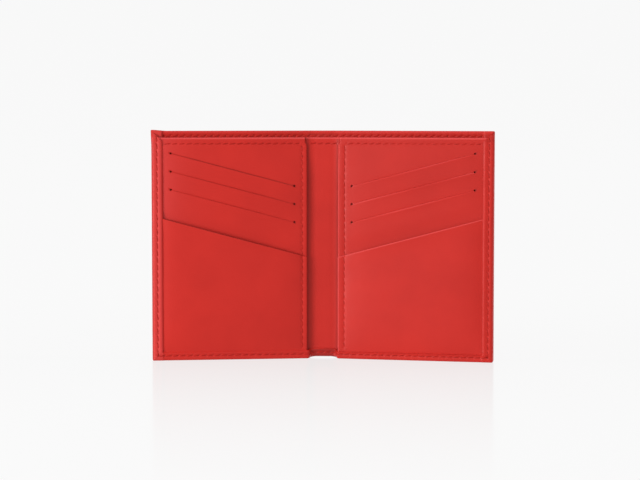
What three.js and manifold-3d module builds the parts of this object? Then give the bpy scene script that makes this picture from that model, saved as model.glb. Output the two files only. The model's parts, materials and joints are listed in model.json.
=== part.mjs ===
// A bifold card holder in leather, standing open on its bottom edge, in millimetres.
// +X is to the right, -Y is the inside that a reader sees, +Z is up.
// Each leaf turns about its own vertical fold line, at the front face of the divider leather.
// u is a distance along the sheets from the middle of the spine; y is a depth from the fold lines,
// negative towards the inside of the leaf, positive towards the outside of the cover.

import * as THREE from "three";
import { mergeVertices } from "three/addons/utils/BufferGeometryUtils.js";
import Module from "manifold-3d";

const wasm = await Module();
wasm.setup();

// Driving dimensions
const HEIGHT = 105; // closed height of the cover
const FOLD = 4.9; // spine middle to each fold line
const LEAF_REACH = 73.6; // fold line to the leaf's outer edge
const REST_ANGLE = THREE.MathUtils.degToRad(9); // each leaf's turn from lying flat
const CARD_WIDTH = 54; // a bank card stands upright in each slot

// Sheet thicknesses
const COVER = 0.9;
const HEM = 0.6; // the cover's turned edge, skived
const TOP_HEM = 0.5;
const STIFFENER = 0.4;
const LINING = 0.2;
const INNER_LEATHER = 0.6;
const BAG = 0.15;
const THREAD = 0.25;
const THREAD_WIDTH = 0.5;

// Clearances
const GLUE_LINE = 0.05;
const SLOT_GAP = 0.1; // an empty card slot lies almost shut
const SLIP_GAP = 0.3;
const NOTE_GAP = 0.4;
const FOLD_GAP = 0.25; // fold line to the end of each sheet behind it
const FRONT_FOLD_GAP = 0.75; // the same for what stands in front of the fold line
const EDGE_GAP = 0.1; // sheet edge to the inside of the cover's turned edge

// Depths behind the fold lines
const DIVIDER_BACK = INNER_LEATHER;
const LINING_FRONT = DIVIDER_BACK + NOTE_GAP;
const STIFFENER_FRONT = LINING_FRONT + LINING + GLUE_LINE;
const COVER_FRONT = STIFFENER_FRONT + STIFFENER + GLUE_LINE;
const COVER_BACK = COVER_FRONT + COVER;
const TOP_HEM_FRONT = LINING_FRONT + LINING - TOP_HEM;
const OUTER_THREAD_BACK = COVER_BACK + GLUE_LINE + THREAD;

// Depths in front of the fold lines, each at the sheet's back face
const PANEL_LINING_BACK = -SLIP_GAP;
const BAG_BACKS = [0, 1, 2].map((tier) => PANEL_LINING_BACK - (tier + 1) * (BAG + SLOT_GAP));
const SLIT_PANEL_BACK = BAG_BACKS[2] - BAG - SLOT_GAP;
const SLIT_PANEL_FRONT = SLIT_PANEL_BACK - INNER_LEATHER;
const POCKET_BACK = SLIT_PANEL_FRONT - SLOT_GAP;
const POCKET_FRONT = POCKET_BACK - INNER_LEATHER;
const HEM_BACK = POCKET_FRONT - GLUE_LINE;
const HEM_FRONT = HEM_BACK - HEM;
const GUTTER_HEM_FRONT = -GLUE_LINE - HEM;

// Outlines on the leaf, along u and z
const OUTER_EDGE = FOLD + LEAF_REACH;
const SHEET_EDGE = OUTER_EDGE - COVER - EDGE_GAP;
const SHEET_FOOT = COVER + EDGE_GAP;
const PANEL_INNER_EDGE = 8.1;
const PANEL_TOP = 101.9;
const SIDE_HEM_WIDTH = 4.8;
const BOTTOM_HEM_HEIGHT = 3.6;
const TOP_HEM_HEIGHT = 4.5;
const LINING_TOP = HEIGHT - TOP_HEM_HEIGHT - EDGE_GAP;
const STIFFENER_TOP = HEIGHT - COVER - EDGE_GAP;

// Three slits and the pocket mouth rise towards the outer edge, nearly parallel
const SLIT_PLAY = 2.2; // slit length over a card's width
const SLIT_INNER_END = 13.6;
const SLIT_OUTER_END = SLIT_INNER_END + CARD_WIDTH + SLIT_PLAY;
const SLIT_RISE = 15.2;
const SLIT_PITCH = 8.35;
const TOP_SLIT_INNER_HEIGHT = 79.6;
const SLIT_WIDTH = 0.3;
const PUNCH_RADIUS = 0.45;
const MOUTH_INNER_HEIGHT = 47.1;
const MOUTH_SLOPE = 0.273;
const BAG_HEADROOM = 3; // bag top above its slit
const BAG_MARGIN = 1.6; // bag side past the slit's punch hole
const BAG_FEET = [12, 6.5, 5.2];

// Stitch lines
const SIDE_ROW = OUTER_EDGE - 2.3;
const BOTTOM_ROW = 2.1;
const TOP_ROW = HEIGHT - 1.9;
const DIVIDER_ROW = PANEL_TOP - 2;
const PANEL_ROW = PANEL_INNER_EDGE + 1.9;

// The whole part is centred front to back on its own bounding box
const FRONT_REACH = LEAF_REACH * Math.sin(REST_ANGLE) - HEM_FRONT * Math.cos(REST_ANGLE);
const FOLD_DEPTH = (FRONT_REACH - OUTER_THREAD_BACK) / 2;

const RED_LEATHER = { color: 0xc8322d, roughness: 0.5, metalness: 0 };
const RED_CLOTH = { color: 0x9e2622, roughness: 0.9, metalness: 0 };
const BOARD_GREY = { color: 0x8a8178, roughness: 0.95, metalness: 0 };
const RED_THREAD = { color: 0xb02420, roughness: 0.6, metalness: 0 };

// A closed geometry as a solid that can be joined to others
function solidOf(geometry) {
  const bare = geometry.clone();
  bare.deleteAttribute("normal");
  bare.deleteAttribute("uv");
  const merged = mergeVertices(bare, 1e-4);
  return new wasm.Manifold(
    new wasm.Mesh({
      numProp: 3,
      vertProperties: merged.attributes.position.array,
      triVerts: new Uint32Array(merged.index.array),
    }),
  );
}

function geometryOf(solid) {
  const mesh = solid.getMesh();
  const geometry = new THREE.BufferGeometry();
  geometry.setAttribute("position", new THREE.BufferAttribute(mesh.vertProperties, 3));
  geometry.setIndex(new THREE.BufferAttribute(mesh.triVerts, 1));
  geometry.computeVertexNormals();
  return geometry;
}

// A block between two corners, given as [low, high] along x, y and z
function block([x0, x1], [y0, y1], [z0, z1]) {
  const geometry = new THREE.BoxGeometry(Math.abs(x1 - x0), y1 - y0, z1 - z0);
  return geometry.translate((x0 + x1) / 2, (y0 + y1) / 2, (z0 + z1) / 2);
}

function joined(blocks) {
  const solids = blocks.map(solidOf);
  return geometryOf(solids.reduce((whole, next) => whole.add(next)));
}

// A flat sheet with an outline in x and z, its back face at the depth given
function sheet(outline, back, thickness, holes = []) {
  const shape = new THREE.Shape(outline.map(([x, z]) => new THREE.Vector2(x, z)));
  shape.holes = holes;
  const settings = { depth: thickness, bevelEnabled: false, curveSegments: 5 };
  const geometry = new THREE.ExtrudeGeometry(shape, settings);
  return geometry.rotateX(Math.PI / 2).translate(0, back, 0);
}

function rectangle(x0, x1, z0, z1) {
  return [[x0, z0], [x1, z0], [x1, z1], [x0, z1]];
}

function named(name, geometry, finish) {
  const mesh = new THREE.Mesh(geometry, new THREE.MeshStandardMaterial(finish));
  mesh.name = name;
  return mesh;
}

const slitHeight = (tier) => TOP_SLIT_INNER_HEIGHT - tier * SLIT_PITCH;
const slitHeightAt = (tier, u) =>
  slitHeight(tier) + (SLIT_RISE * (u - SLIT_INNER_END)) / (SLIT_OUTER_END - SLIT_INNER_END);
const mouthHeightAt = (u) => MOUTH_INNER_HEIGHT + MOUTH_SLOPE * (u - PANEL_INNER_EDGE);

// One slit with a round punch hole at each end, as a closed dumbbell outline
function slitHole(tier, toX) {
  const inner = new THREE.Vector2(toX(SLIT_INNER_END), slitHeightAt(tier, SLIT_INNER_END));
  const outer = new THREE.Vector2(toX(SLIT_OUTER_END), slitHeightAt(tier, SLIT_OUTER_END));
  const along = outer.clone().sub(inner).angle();
  const neck = Math.asin(SLIT_WIDTH / 2 / PUNCH_RADIUS);
  const hole = new THREE.Path();
  hole.absarc(inner.x, inner.y, PUNCH_RADIUS, along + neck, along - neck + 2 * Math.PI, false);
  hole.absarc(outer.x, outer.y, PUNCH_RADIUS, along + Math.PI + neck, along + 3 * Math.PI - neck, false);
  hole.closePath();
  return hole;
}

// The cover's share of one leaf: the outer sheet and its turned edges on three sides and the top
function coverLeaf(toX) {
  const width = [toX(FOLD + FOLD_GAP), toX(OUTER_EDGE)];
  const gutterFoot = [toX(FOLD + FRONT_FOLD_GAP), toX(PANEL_INNER_EDGE + GLUE_LINE)];
  const gutterHem = [toX(FOLD + FRONT_FOLD_GAP), toX(PANEL_INNER_EDGE - EDGE_GAP)];
  const panel = [toX(PANEL_INNER_EDGE), toX(OUTER_EDGE)];
  const sideHem = [toX(OUTER_EDGE - SIDE_HEM_WIDTH), toX(OUTER_EDGE)];
  const sideWall = [toX(OUTER_EDGE - COVER), toX(OUTER_EDGE)];
  const tall = [0, HEIGHT];
  return joined([
    block(width, [COVER_FRONT, COVER_BACK], tall),
    block(sideWall, [HEM_FRONT, COVER_BACK], tall),
    block(sideHem, [HEM_FRONT, HEM_BACK], tall),
    block(panel, [HEM_FRONT, COVER_BACK], [0, COVER]),
    block(panel, [HEM_FRONT, HEM_BACK], [0, BOTTOM_HEM_HEIGHT]),
    block(width, [0, COVER_BACK], [0, COVER]),
    block(gutterFoot, [GUTTER_HEM_FRONT, COVER_FRONT], [0, COVER]),
    block(gutterHem, [GUTTER_HEM_FRONT, -GLUE_LINE], [0, BOTTOM_HEM_HEIGHT]),
    block(width, [TOP_HEM_FRONT, COVER_BACK], [HEIGHT - COVER, HEIGHT]),
    block(width, [TOP_HEM_FRONT, TOP_HEM_FRONT + TOP_HEM], [HEIGHT - TOP_HEM_HEIGHT, HEIGHT]),
  ]);
}

function coverSpine() {
  const width = [FOLD_GAP - FOLD, FOLD - FOLD_GAP];
  const gutter = [FRONT_FOLD_GAP - FOLD, FOLD - FRONT_FOLD_GAP];
  return joined([
    block(width, [COVER_FRONT, COVER_BACK], [0, HEIGHT]),
    block(width, [0, COVER_BACK], [0, COVER]),
    block(gutter, [GUTTER_HEM_FRONT, COVER_FRONT], [0, COVER]),
    block(gutter, [GUTTER_HEM_FRONT, -GLUE_LINE], [0, BOTTOM_HEM_HEIGHT]),
    block(width, [TOP_HEM_FRONT, COVER_BACK], [HEIGHT - COVER, HEIGHT]),
    block(width, [TOP_HEM_FRONT, TOP_HEM_FRONT + TOP_HEM], [HEIGHT - TOP_HEM_HEIGHT, HEIGHT]),
  ]);
}

// The leather panel with three card slits, reaching down behind the front pocket
function slitPanel(toX) {
  const outline = rectangle(toX(PANEL_INNER_EDGE), toX(SHEET_EDGE), SHEET_FOOT, PANEL_TOP);
  const slits = [0, 1, 2].map((tier) => slitHole(tier, toX));
  return sheet(outline, SLIT_PANEL_BACK, INNER_LEATHER, slits);
}

// The lowest pocket, whose slanting mouth is its top edge
function frontPocket(toX) {
  const outline = [
    [toX(PANEL_INNER_EDGE), SHEET_FOOT],
    [toX(SHEET_EDGE), SHEET_FOOT],
    [toX(SHEET_EDGE), mouthHeightAt(SHEET_EDGE)],
    [toX(PANEL_INNER_EDGE), mouthHeightAt(PANEL_INNER_EDGE)],
  ];
  return sheet(outline, POCKET_BACK, INNER_LEATHER);
}

// The cloth back wall of one card slot, glued above its slit and running down to the slot's foot
function slotBag(tier, toX) {
  const inner = SLIT_INNER_END - BAG_MARGIN;
  const outer = SLIT_OUTER_END + BAG_MARGIN;
  const outline = [
    [toX(inner), BAG_FEET[tier]],
    [toX(outer), BAG_FEET[tier]],
    [toX(outer), slitHeightAt(tier, outer) + BAG_HEADROOM],
    [toX(inner), slitHeightAt(tier, inner) + BAG_HEADROOM],
  ];
  return sheet(outline, BAG_BACKS[tier], BAG);
}

// A straight run of thread: [low, high] along x and z with its front and back depths
function threadRun(xs, zs, front) {
  return block(xs, [front, front + THREAD], zs);
}

const across = (z) => [z - THREAD_WIDTH / 2, z + THREAD_WIDTH / 2];

// The needle thread that holds the turned edge down: along the bottom and up the outer side
function perimeterThread(toX) {
  const front = HEM_FRONT - GLUE_LINE - THREAD;
  const side = [toX(SIDE_ROW - THREAD_WIDTH / 2), toX(SIDE_ROW + THREAD_WIDTH / 2)];
  const bottom = [toX(PANEL_INNER_EDGE + THREAD_WIDTH), toX(SIDE_ROW + THREAD_WIDTH / 2)];
  return joined([
    threadRun(side, [BOTTOM_ROW - THREAD_WIDTH / 2, TOP_ROW], front),
    threadRun(bottom, across(BOTTOM_ROW), front),
  ]);
}

// The bobbin thread of the same seam and of the top hem, on the outside of the cover
function outerThread(toX) {
  const front = COVER_BACK + GLUE_LINE;
  const side = [toX(SIDE_ROW - THREAD_WIDTH / 2), toX(SIDE_ROW + THREAD_WIDTH / 2)];
  const long = [toX(FOLD + FOLD_GAP + GLUE_LINE), toX(SIDE_ROW + THREAD_WIDTH / 2)];
  return joined([
    threadRun(side, [BOTTOM_ROW - THREAD_WIDTH / 2, TOP_ROW + THREAD_WIDTH / 2], front),
    threadRun(long, across(BOTTOM_ROW), front),
    threadRun(long, across(TOP_ROW), front),
  ]);
}

// The row beside the gutter: on the slit panel above the mouth, on the front pocket below it
function panelThread(toX) {
  const xs = [toX(PANEL_ROW - THREAD_WIDTH / 2), toX(PANEL_ROW + THREAD_WIDTH / 2)];
  const upperFront = SLIT_PANEL_FRONT - GLUE_LINE - THREAD;
  const lowerFront = POCKET_FRONT - GLUE_LINE - THREAD;
  const step = mouthHeightAt(PANEL_ROW + THREAD_WIDTH) + GLUE_LINE;
  const rowTop = DIVIDER_ROW - THREAD_WIDTH;
  return joined([
    threadRun(xs, [step, rowTop], upperFront),
    threadRun(xs, [BOTTOM_HEM_HEIGHT + EDGE_GAP, step + THREAD], lowerFront),
    block(xs, [lowerFront, upperFront + THREAD], [step, step + THREAD]),
  ]);
}

// One leaf with its group on the fold line, so that everything on it turns together
function leaf(name, side) {
  const toX = (u) => side * (u - FOLD);
  const group = new THREE.Group();
  const inner = FOLD + FOLD_GAP;
  const fullSheet = (top) => rectangle(toX(inner), toX(SHEET_EDGE), SHEET_FOOT, top);
  const panelSheet = rectangle(toX(PANEL_INNER_EDGE), toX(SHEET_EDGE), SHEET_FOOT, PANEL_TOP);
  const row = (front, z, start) =>
    threadRun([toX(start), toX(OUTER_EDGE - SIDE_HEM_WIDTH - EDGE_GAP)], across(z), front);
  const topHemThreadFront = TOP_HEM_FRONT - GLUE_LINE - THREAD;
  const dividerThreadFront = SLIT_PANEL_FRONT - GLUE_LINE - THREAD;
  group.add(
    named(`${name}_cover`, coverLeaf(toX), RED_LEATHER),
    named(`${name}_stiffener`, sheet(fullSheet(STIFFENER_TOP), STIFFENER_FRONT + STIFFENER, STIFFENER),
      BOARD_GREY),
    named(`${name}_cover_lining`, sheet(fullSheet(LINING_TOP), LINING_FRONT + LINING, LINING), RED_CLOTH),
    named(`${name}_divider`, sheet(fullSheet(PANEL_TOP), DIVIDER_BACK, INNER_LEATHER), RED_LEATHER),
    named(`${name}_panel_lining`, sheet(panelSheet, PANEL_LINING_BACK, BAG), RED_CLOTH),
    named(`${name}_slit_panel`, slitPanel(toX), RED_LEATHER),
    named(`${name}_front_pocket`, frontPocket(toX), RED_LEATHER),
    named(`${name}_perimeter_thread`, perimeterThread(toX), RED_THREAD),
    named(`${name}_outer_thread`, outerThread(toX), RED_THREAD),
    named(`${name}_top_hem_thread`, row(topHemThreadFront, TOP_ROW, inner + GLUE_LINE), RED_THREAD),
    named(`${name}_divider_thread`, row(dividerThreadFront, DIVIDER_ROW, PANEL_INNER_EDGE + THREAD_WIDTH),
      RED_THREAD),
    named(`${name}_panel_thread`, panelThread(toX), RED_THREAD),
  );
  ["upper", "middle", "lower"].forEach((place, tier) => {
    group.add(named(`${name}_${place}_slot_bag`, slotBag(tier, toX), RED_CLOTH));
  });
  group.position.set(side * FOLD, FOLD_DEPTH, 0);
  group.rotation.z = -side * REST_ANGLE;
  return group;
}

// The strip between the fold lines, which both leaves turn on
function spine() {
  const group = new THREE.Group();
  const half = FOLD - FOLD_GAP;
  const frontHalf = FOLD - FRONT_FOLD_GAP - THREAD;
  const strip = (foot, top) => rectangle(-half, half, foot, top);
  const row = (reach, z, front) => threadRun([-reach, reach], across(z), front);
  const outerThreadFront = COVER_BACK + GLUE_LINE;
  group.add(
    named("spine_cover", coverSpine(), RED_LEATHER),
    named("spine_cover_lining", sheet(strip(SHEET_FOOT, LINING_TOP), LINING_FRONT + LINING, LINING),
      RED_CLOTH),
    named("spine_divider", sheet(strip(SHEET_FOOT, PANEL_TOP), DIVIDER_BACK, INNER_LEATHER), RED_LEATHER),
    named("spine_perimeter_thread", row(frontHalf, BOTTOM_ROW, GUTTER_HEM_FRONT - GLUE_LINE - THREAD),
      RED_THREAD),
    named("spine_top_hem_thread", row(half, TOP_ROW, TOP_HEM_FRONT - GLUE_LINE - THREAD), RED_THREAD),
    named("spine_divider_thread", row(frontHalf, DIVIDER_ROW, -GLUE_LINE - THREAD), RED_THREAD),
    named("spine_outer_thread_top", row(half, TOP_ROW, outerThreadFront), RED_THREAD),
    named("spine_outer_thread_bottom", row(half, BOTTOM_ROW, outerThreadFront), RED_THREAD),
  );
  group.position.y = FOLD_DEPTH;
  return group;
}

const cardHolder = new THREE.Group();
cardHolder.add(leaf("left", -1), spine(), leaf("right", 1));

export default cardHolder;
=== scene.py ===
# A bifold leather card holder standing open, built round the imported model.
# Lengths are in millimetres until a mesh is made. On a leaf, u runs along the sheets from the middle of
# the spine, depth runs from the plane of the fold line to the outside of the cover, and z is up.

import json
import math

import bmesh
import bpy
import numpy as np
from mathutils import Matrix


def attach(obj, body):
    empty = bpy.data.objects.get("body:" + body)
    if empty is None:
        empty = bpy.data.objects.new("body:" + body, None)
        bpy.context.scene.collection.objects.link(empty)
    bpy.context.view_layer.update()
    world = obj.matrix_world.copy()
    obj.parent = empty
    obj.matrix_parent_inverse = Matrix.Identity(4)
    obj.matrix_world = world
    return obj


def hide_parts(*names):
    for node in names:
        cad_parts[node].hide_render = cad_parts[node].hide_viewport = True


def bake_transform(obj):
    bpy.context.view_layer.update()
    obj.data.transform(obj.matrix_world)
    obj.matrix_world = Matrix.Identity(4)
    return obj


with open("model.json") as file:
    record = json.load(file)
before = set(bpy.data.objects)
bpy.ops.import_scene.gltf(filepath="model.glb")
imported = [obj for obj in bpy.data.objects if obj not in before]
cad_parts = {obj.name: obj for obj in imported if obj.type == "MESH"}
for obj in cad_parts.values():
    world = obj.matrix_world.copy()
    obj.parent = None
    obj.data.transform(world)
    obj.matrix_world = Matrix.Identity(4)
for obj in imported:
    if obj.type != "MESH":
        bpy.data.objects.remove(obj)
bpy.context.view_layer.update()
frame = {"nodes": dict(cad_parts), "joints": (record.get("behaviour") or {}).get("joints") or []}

MM = 0.001
SIDES = {"left": -1, "right": 1}


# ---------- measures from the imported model

def node_points(node):
    """A CAD node's vertices at rest, in millimetres."""
    return np.array([v.co for v in frame["nodes"][node].data.vertices]) / MM


right_joint = next(j for j in frame["joints"] if j["child"] == "right_leaf")
FOLD, FOLD_DEPTH = (value / MM for value in right_joint["pos_m"][:2])


def rest_angle():
    """How far a leaf is turned at rest: its divider's front face lies in the plane of the fold line."""
    points = node_points("right_divider")
    front = points[points[:, 1].argmin()]
    return math.atan2(FOLD_DEPTH - front[1], front[0] - FOLD)


REST_ANGLE = rest_angle()


def leaf_box(node):
    """Lowest and highest (u, depth, z) of a CAD node of the right leaf, measured along that leaf."""
    x, y, z = node_points(node).T
    along, back = x - FOLD, y - FOLD_DEPTH
    u = FOLD + along * math.cos(REST_ANGLE) - back * math.sin(REST_ANGLE)
    depth = along * math.sin(REST_ANGLE) + back * math.cos(REST_ANGLE)
    points = np.stack([u, depth, z], axis=1)
    return points.min(0), points.max(0)


(_, HEM_FRONT, _), (OUTER_EDGE, COVER_BACK, HEIGHT) = leaf_box("right_cover")
(_, DIVIDER_FRONT, SHEET_FOOT), (SHEET_EDGE, DIVIDER_BACK, PANEL_TOP) = leaf_box("right_divider")
(PANEL_EDGE, SLIT_PANEL_FRONT, _), (_, SLIT_PANEL_BACK, _) = leaf_box("right_slit_panel")
(_, POCKET_FRONT, _), (_, POCKET_BACK, _) = leaf_box("right_front_pocket")
GUTTER_HEM_FRONT = node_points("spine_cover")[:, 1].min() - FOLD_DEPTH
PANEL_THICKNESS = 0.9 * (SLIT_PANEL_BACK - SLIT_PANEL_FRONT)

# Sheet thicknesses and turned edges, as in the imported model
COVER = 0.9
HEM = 0.6
TOP_HEM = 0.5
TOP_HEM_FRONT = 0.7
SIDE_HEM_WIDTH = 5.0
TOP_HEM_HEIGHT = 4.5
BOTTOM_HEM_HEIGHT = {"left": 3.9, "right": 3.4}
GUTTER_HEM_HEIGHT = 4.2
HEM_EDGE = OUTER_EDGE - SIDE_HEM_WIDTH
SKIN_DEPTH = 1.5  # leather of the cover that lies deeper than this is its outside
INNER_EDGE = {"left": PANEL_EDGE - 0.5, "right": PANEL_EDGE - 1.1}  # the panels' edges in the gutter

# Three slits and the pocket mouth, rising towards the outer edge
SLIT_INNER_END = 13.6
SLIT_OUTER_END = 69.8
TOP_SLIT_HEIGHT = 79.6
SLIT_RISE = 15.2
SLIT_PITCH = 8.35
SLIT_GAP = 0.03
PUNCH_RADIUS = 0.42
MOUTH_HEIGHT = 47.1
MOUTH_SLOPE = 0.273
MOUTH_GAPE = {"left": 0.75, "right": 0.40}
BAG_HEADROOM = 3.0
ABOVE_BAGS = (84, 96)  # the heights between which the slot bags end

# Edge tones, from 0 to 1: how much darker a surface is made, by edge dye or by painted shade, or how
# much paler, by a painted highlight or painted sheen
# Painted shade on the left leaf's pocket edges and slit lips, which face away from the key light; the
# right leaf's are left undarkened
LIP_SHADE = {"left": 1.0, "right": 0.0}
# Painted highlight on the right leaf's slit lips and pocket mouth, which face the key light
LIP_HIGHLIGHT = {"left": 0.0, "right": 0.75}
SLIT_SHADE = (0.6, 0.3, 0.15)  # a share of LIP_SHADE for each slit, from the top one down
# Painted shade over the right leaf's slit panel
PANEL_SHADE = {"left": 0.0, "right": 0.12}
# Painted sheen on the left leaf's slit panel beside the side hem
PANEL_SHEEN = {"left": 0.30, "right": 0.0}
# Painted highlight along the right leaf's panel edges in the gutter
INNER_EDGE_HIGHLIGHT = 0.6
# Painted highlight along the top edge of the inner sheets
SHEET_TOP_HIGHLIGHT = 0.8
# Painted shadow in the divider's crease beside the panels
CREASE_SHADOW = 0.5
# Edge dye on the right leaf's skived edges; the left leaf's are left undyed, painted light on their
# shadowed edge
SKIVED_DYE_AND_PAINTED_LIGHT = {"left": 0.0, "right": 0.35}
# Painted shade on the recessed top hem band
TOP_HEM_SHADE = 0.25
# Painted shade on the recessed foot of the gutter
GUTTER_FOOT_SHADE = 0.75
# Painted sheen along the cover's top edge
COVER_TOP_SHEEN = 0.2
# Painted sheen over the left hem
LEFT_HEM_SHEEN = 0.3
# Darker along the left leaf's very outer edge
LEFT_EDGE_DARKENING = 0.6

# Seams. The holes round the cover are spaced so that one falls at each corner of its plain middle,
# which starts RIM in from every edge.
SIDE_ROW = OUTER_EDGE - 2.3
STITCHES_ALONG = 24
STITCHES_UP = 31
PITCH_ALONG = SIDE_ROW / STITCHES_ALONG
RIM = OUTER_EDGE - (STITCHES_ALONG - 2) * PITCH_ALONG
PITCH_UP = (HEIGHT - 2 * RIM) / (STITCHES_UP - 4)
BOTTOM_ROW = RIM - 2 * PITCH_UP
TOP_ROW = HEIGHT - 2.5
DIVIDER_ROW = PANEL_TOP - 2.8
PANEL_ROW = PANEL_EDGE + 1.9
GUTTER_SEAM_END = 6.4
SEAM_SPACE = 0.8  # how far short of their corner the panels' two seams stop
HOLE_LENGTH = 0.62
HOLE_WIDTH = 0.34
GROOVE_WIDTH = 0.75
THREAD_RADIUS = 0.25
THREAD_SLANT = 0.26  # how far the ends of a stitch lie to the two sides of its row
THREAD_CROWN = 0.30  # how far the middle of a stitch stands above its ends
THREAD_SINK = 0.27  # how far the ends lie below the leather

# How the sheets lie
BEND = 4.4  # the width of sheet that turns at each fold
TOP_SAG = 0.35  # how far the top edge sinks between its outer corners
GUTTER_RISE = 0.6  # how far the foot of the spine stands off the ground
CORNER_OUT = 0.25  # how far the left top corner is pulled out, and up
CORNER_UP = 0.15
SEAM_PULL = 0.16  # the share of the stack's depth that is gone at a seam
POCKET_SWELL = 0.85
PANEL_SWELL = 0.45
SLIT_LIFT = 0.42
WORN = 0.9  # over this width the cut edges of the inner sheets are worn round, and fall by WORN_DROP
WORN_DROP = 0.4
CREASE_ANGLE = 52  # the least angle in degrees between faces that meet in a crisp corner
HAIR = 1e-6  # less than any step of a grid


def step(value, start, end):
    """0 up to start, 1 from end, and a smooth step between them."""
    t = np.clip((value - start) / (end - start), 0, 1)
    return t * t * (3 - 2 * t)


def fall(distance, reach):
    """1 at and before a line, dying away beyond it."""
    return np.exp(-np.maximum(distance, 0) / reach)


def place(side, points):
    """Flat leaf points (u, depth, z) as they stand at rest, in metres. The left top corner is pulled
    out a little, the top edge sinks between the corners, and the foot of the spine is drawn up."""
    u, depth, z = np.asarray(points, float).T
    corner = step(u, 71, 78.5) * step(z, 97, 105) * (side == "left")
    z = z - TOP_SAG * step(z, 60, 105) * (1 - corner) + CORNER_UP * corner
    z = z + GUTTER_RISE * (1 - step(u, 3, 8)) * (1 - step(z, 0, 14))
    u = u + CORNER_OUT * corner
    turn = REST_ANGLE * step(u, FOLD - BEND / 2, FOLD + BEND / 2)
    x = FOLD + (u - FOLD) * np.cos(turn) + depth * np.sin(turn)
    y = FOLD_DEPTH - (u - FOLD) * np.sin(turn) + depth * np.cos(turn)
    return np.stack([SIDES[side] * x, y, z], axis=1) * MM


# ---------- the shape that the sheets take up

def slit_height(tier, u):
    """Height of a slit's middle; tier 0 is the top one."""
    along = (u - SLIT_INNER_END) / (SLIT_OUTER_END - SLIT_INNER_END)
    return TOP_SLIT_HEIGHT - tier * SLIT_PITCH + SLIT_RISE * along


def mouth_height(u):
    """Height of the pocket's mouth."""
    return MOUTH_HEIGHT + MOUTH_SLOPE * (u - PANEL_EDGE)


def squeeze(u, z, at_top=0.5):
    """What is left of the stack's depth where the seams pull it together, and above the slot bags,
    where a share of it, at_top, is gone."""
    slack = 1.0
    for distance in (u - PANEL_ROW, SIDE_ROW - u, z - BOTTOM_ROW, DIVIDER_ROW - z):
        slack = slack * (1 - 0.85 * np.exp(-np.abs(distance) / 5))
    return (1 - SEAM_PULL * (1 - slack)) * (1 - at_top * step(z, *ABOVE_BAGS))


def hem_squeeze(u, z):
    """The same for the hems, which keep more of their depth at the top."""
    return squeeze(u, z, 0.3)


def ripple(u, z, phase):
    """The slow unevenness of cut leather, about 1 from crest to middle."""
    return (
        np.sin(u / 9.1 + z / 23.0 + phase)
        + np.sin(z / 12.7 - u / 31.0 + 2.3 * phase)
        + np.sin((u + z) / 17.3 + 4.1 * phase)
    ) / 3


def edge_drop(inset, width, depth):
    """How far a worn edge falls away, from nothing at width in to depth at the edge itself."""
    t = np.clip(1 - inset / width, 0, 1)
    return depth * (1 - np.sqrt(1 - t * t))


class Seam:
    """A straight row of count slanting stitches between two (u, z) points, with a hole at each end.
    depth is how far they draw the leather in."""

    def __init__(self, start, end, count, depth):
        self.start, self.end = np.array(start, float), np.array(end, float)
        self.length = np.linalg.norm(self.end - self.start)
        self.ahead = (self.end - self.start) / self.length
        self.beside = np.array([-self.ahead[1], self.ahead[0]])
        self.pitch = self.length / count
        self.depth = depth
        self.holes = self.start + np.linspace(0, 1, count + 1)[:, None] * (self.end - self.start)

    def dent(self, u, z, lean):
        """How deep the thread pulls the leather in: a groove, and a slanting dimple at each hole."""
        du, dz = u - self.start[0], z - self.start[1]
        run = du * self.ahead[0] + dz * self.ahead[1]
        off = du * self.beside[0] + dz * self.beside[1]
        on_row = step(run, -0.48, 0.32) * step(self.length - run, -0.48, 0.32)
        to_hole = (run + self.pitch / 2) % self.pitch - self.pitch / 2
        along, across = (to_hole + lean * off) / math.sqrt(2), (to_hole - lean * off) / math.sqrt(2)
        groove = 0.5 * self.depth * np.exp(-((off / GROOVE_WIDTH) ** 2))
        dimple = self.depth * np.exp(-((along / HOLE_LENGTH) ** 2) - (across / HOLE_WIDTH) ** 2)
        return on_row * (groove + dimple)


CORNER = (SIDE_ROW, BOTTOM_ROW)
LAST_HEM_STITCH = (STITCHES_ALONG - 1) * PITCH_ALONG
SEAMS = {
    "side": Seam(CORNER, (SIDE_ROW, HEIGHT - BOTTOM_ROW), STITCHES_UP, depth=0.14),
    "bottom": Seam((0, BOTTOM_ROW), CORNER, STITCHES_ALONG, depth=0.22),
    "top": Seam((0, TOP_ROW), (LAST_HEM_STITCH, TOP_ROW), STITCHES_ALONG - 1, depth=0.45),
    "outer_top": Seam((0, TOP_ROW), (SIDE_ROW, TOP_ROW), STITCHES_ALONG, depth=0.2),
    "gutter_divider": Seam((0, DIVIDER_ROW), (GUTTER_SEAM_END, DIVIDER_ROW), count=2, depth=0.15),
    "panel_divider": Seam((PANEL_ROW + SEAM_SPACE, DIVIDER_ROW), (LAST_HEM_STITCH, DIVIDER_ROW),
                          count=19, depth=0.16),
    "panel": Seam((PANEL_ROW, 5.0), (PANEL_ROW, DIVIDER_ROW - SEAM_SPACE), count=29, depth=0.21),
}


def dents(names, u, z, side):
    """How deep the leather is drawn in by the seams named."""
    return sum(SEAMS[name].dent(u, z, SIDES[side]) for name in names)


def on_leaf(u):
    """0 in the gutter and 1 on the leaf, where the bottom hem climbs over the edge of the panels."""
    return step(u, PANEL_EDGE - 2.7, PANEL_EDGE - 0.8)


def bottom_hem_front(u):
    """Depth of the front of the bottom hem."""
    return GUTTER_HEM_FRONT + (HEM_FRONT + 0.12 - GUTTER_HEM_FRONT) * on_leaf(u)


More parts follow.
